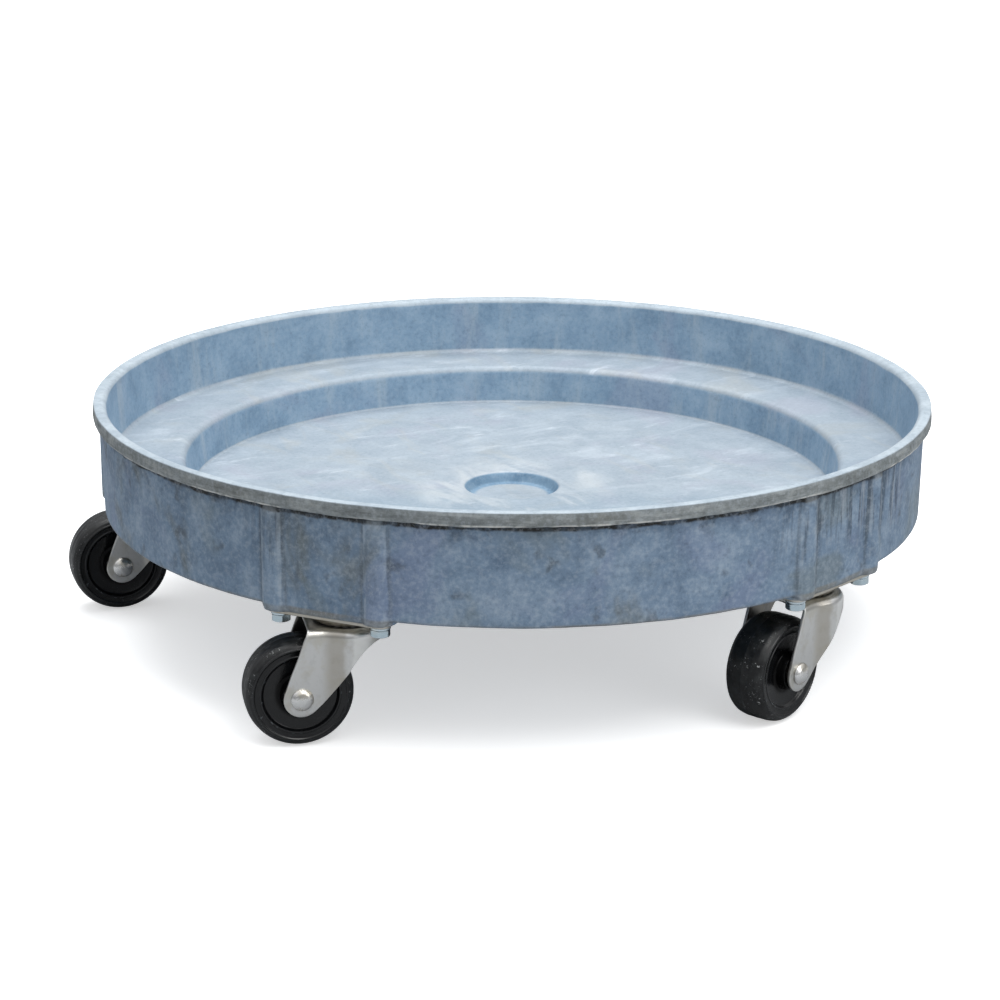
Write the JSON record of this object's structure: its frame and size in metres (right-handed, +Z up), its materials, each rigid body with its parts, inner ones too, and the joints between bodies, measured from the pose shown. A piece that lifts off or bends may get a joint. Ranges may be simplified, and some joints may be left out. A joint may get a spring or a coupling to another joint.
{
  "type": "wheeled oil drain pan",
  "caption": "Round cast-aluminium drip and drain pan with a stepped two-level well and a centre sump, carried low on a ring of swivel plate casters so a drum can stand in it and be rolled.",
  "frame": {"origin": "on the floor under the wheels, at the pan's vertical axis", "axes": "+Z up; +X passes over the kingpin of caster 1; casters are numbered anticlockwise seen from above"},
  "size_m": [0.6382, 0.6382, 0.183],
  "materials": {
    "cast_aluminium": "as cast, matt blue-grey with a fine sand texture and run marks",
    "bolt_zinc": "bright zinc plated with a blue cast",
    "plate_zinc": "zinc plated sheet with a faint yellow cast",
    "fork_zinc": "satin zinc plated pressed steel",
    "rivet_steel": "bright plated steel",
    "bearing_steel": "polished hardened steel balls",
    "wheel_rubber": "black hard rubber, dull, with pale scuffs on the tread",
    "bush_nylon": "oil-filled plain bearing"
  },
  "bodies": {
    "pan": {"drain_pan": "cast_aluminium", "plate_bolts": "bolt_zinc", "lock_washers": "bolt_zinc", "kingpin_rivets": "fork_zinc", "caster_plate_1": "plate_zinc", "caster_plate_2": "plate_zinc", "caster_plate_3": "plate_zinc", "caster_plate_4": "plate_zinc", "caster_plate_5": "plate_zinc", "lower_race_1": "fork_zinc", "lower_race_2": "fork_zinc", "lower_race_3": "fork_zinc", "lower_race_4": "fork_zinc", "lower_race_5": "fork_zinc"},
    "swivel_1": {"fork_1": "fork_zinc", "upper_balls_1": "bearing_steel", "lower_balls_1": "bearing_steel", "axle_rivet_1": "rivet_steel", "spacer_sleeve_1": "rivet_steel", "axle_washers_1": "rivet_steel"},
    "roller_1": {"wheel_1": "wheel_rubber", "wheel_bush_1": "bush_nylon"},
    "swivel_2": {"fork_2": "fork_zinc", "upper_balls_2": "bearing_steel", "lower_balls_2": "bearing_steel", "axle_rivet_2": "rivet_steel", "spacer_sleeve_2": "rivet_steel", "axle_washers_2": "rivet_steel"},
    "roller_2": {"wheel_2": "wheel_rubber", "wheel_bush_2": "bush_nylon"},
    "swivel_3": {"fork_3": "fork_zinc", "upper_balls_3": "bearing_steel", "lower_balls_3": "bearing_steel", "axle_rivet_3": "rivet_steel", "spacer_sleeve_3": "rivet_steel", "axle_washers_3": "rivet_steel"},
    "roller_3": {"wheel_3": "wheel_rubber", "wheel_bush_3": "bush_nylon"},
    "swivel_4": {"fork_4": "fork_zinc", "upper_balls_4": "bearing_steel", "lower_balls_4": "bearing_steel", "axle_rivet_4": "rivet_steel", "spacer_sleeve_4": "rivet_steel", "axle_washers_4": "rivet_steel"},
    "roller_4": {"wheel_4": "wheel_rubber", "wheel_bush_4": "bush_nylon"},
    "swivel_5": {"fork_5": "fork_zinc", "upper_balls_5": "bearing_steel", "lower_balls_5": "bearing_steel", "axle_rivet_5": "rivet_steel", "spacer_sleeve_5": "rivet_steel", "axle_washers_5": "rivet_steel"},
    "roller_5": {"wheel_5": "wheel_rubber", "wheel_bush_5": "bush_nylon"}
  },
  "joints": [
    {"name": "swivel_turn_1", "type": "hinge", "parent": "pan", "child": "swivel_1", "pos_m": [0.279, 0, 0.0874], "axis": [0, 0, 1], "continuous": true},
    {"name": "wheel_spin_1", "type": "hinge", "parent": "swivel_1", "child": "roller_1", "pos_m": [0.24794, 0.01383, 0.0381], "axis": [0.4067, 0.9135, 0], "continuous": true},
    {"name": "swivel_turn_2", "type": "hinge", "parent": "pan", "child": "swivel_2", "pos_m": [0.08622, 0.26534, 0.0874], "axis": [0, 0, 1], "continuous": true},
    {"name": "wheel_spin_2", "type": "hinge", "parent": "swivel_2", "child": "roller_2", "pos_m": [0.05255, 0.27008, 0.0381], "axis": [0.1392, 0.9903, 0], "continuous": true},
    {"name": "swivel_turn_3", "type": "hinge", "parent": "pan", "child": "swivel_3", "pos_m": [-0.22572, 0.16399, 0.0874], "axis": [0, 0, 1], "continuous": true},
    {"name": "wheel_spin_3", "type": "hinge", "parent": "swivel_3", "child": "roller_3", "pos_m": [-0.25884, 0.17164, 0.0381], "axis": [0.225, 0.9744, 0], "continuous": true},
    {"name": "swivel_turn_4", "type": "hinge", "parent": "pan", "child": "swivel_4", "pos_m": [-0.22572, -0.16399, 0.0874], "axis": [0, 0, 1], "continuous": true},
    {"name": "wheel_spin_4", "type": "hinge", "parent": "swivel_4", "child": "roller_4", "pos_m": [-0.25805, -0.15349, 0.0381], "axis": [0.309, 0.9511, 0], "continuous": true},
    {"name": "swivel_turn_5", "type": "hinge", "parent": "pan", "child": "swivel_5", "pos_m": [0.08622, -0.26534, 0.0874], "axis": [0, 0, 1], "continuous": true},
    {"name": "wheel_spin_5", "type": "hinge", "parent": "swivel_5", "child": "roller_5", "pos_m": [0.05427, -0.27697, 0.0381], "axis": [-0.342, 0.9397, 0], "continuous": true}
  ]
}
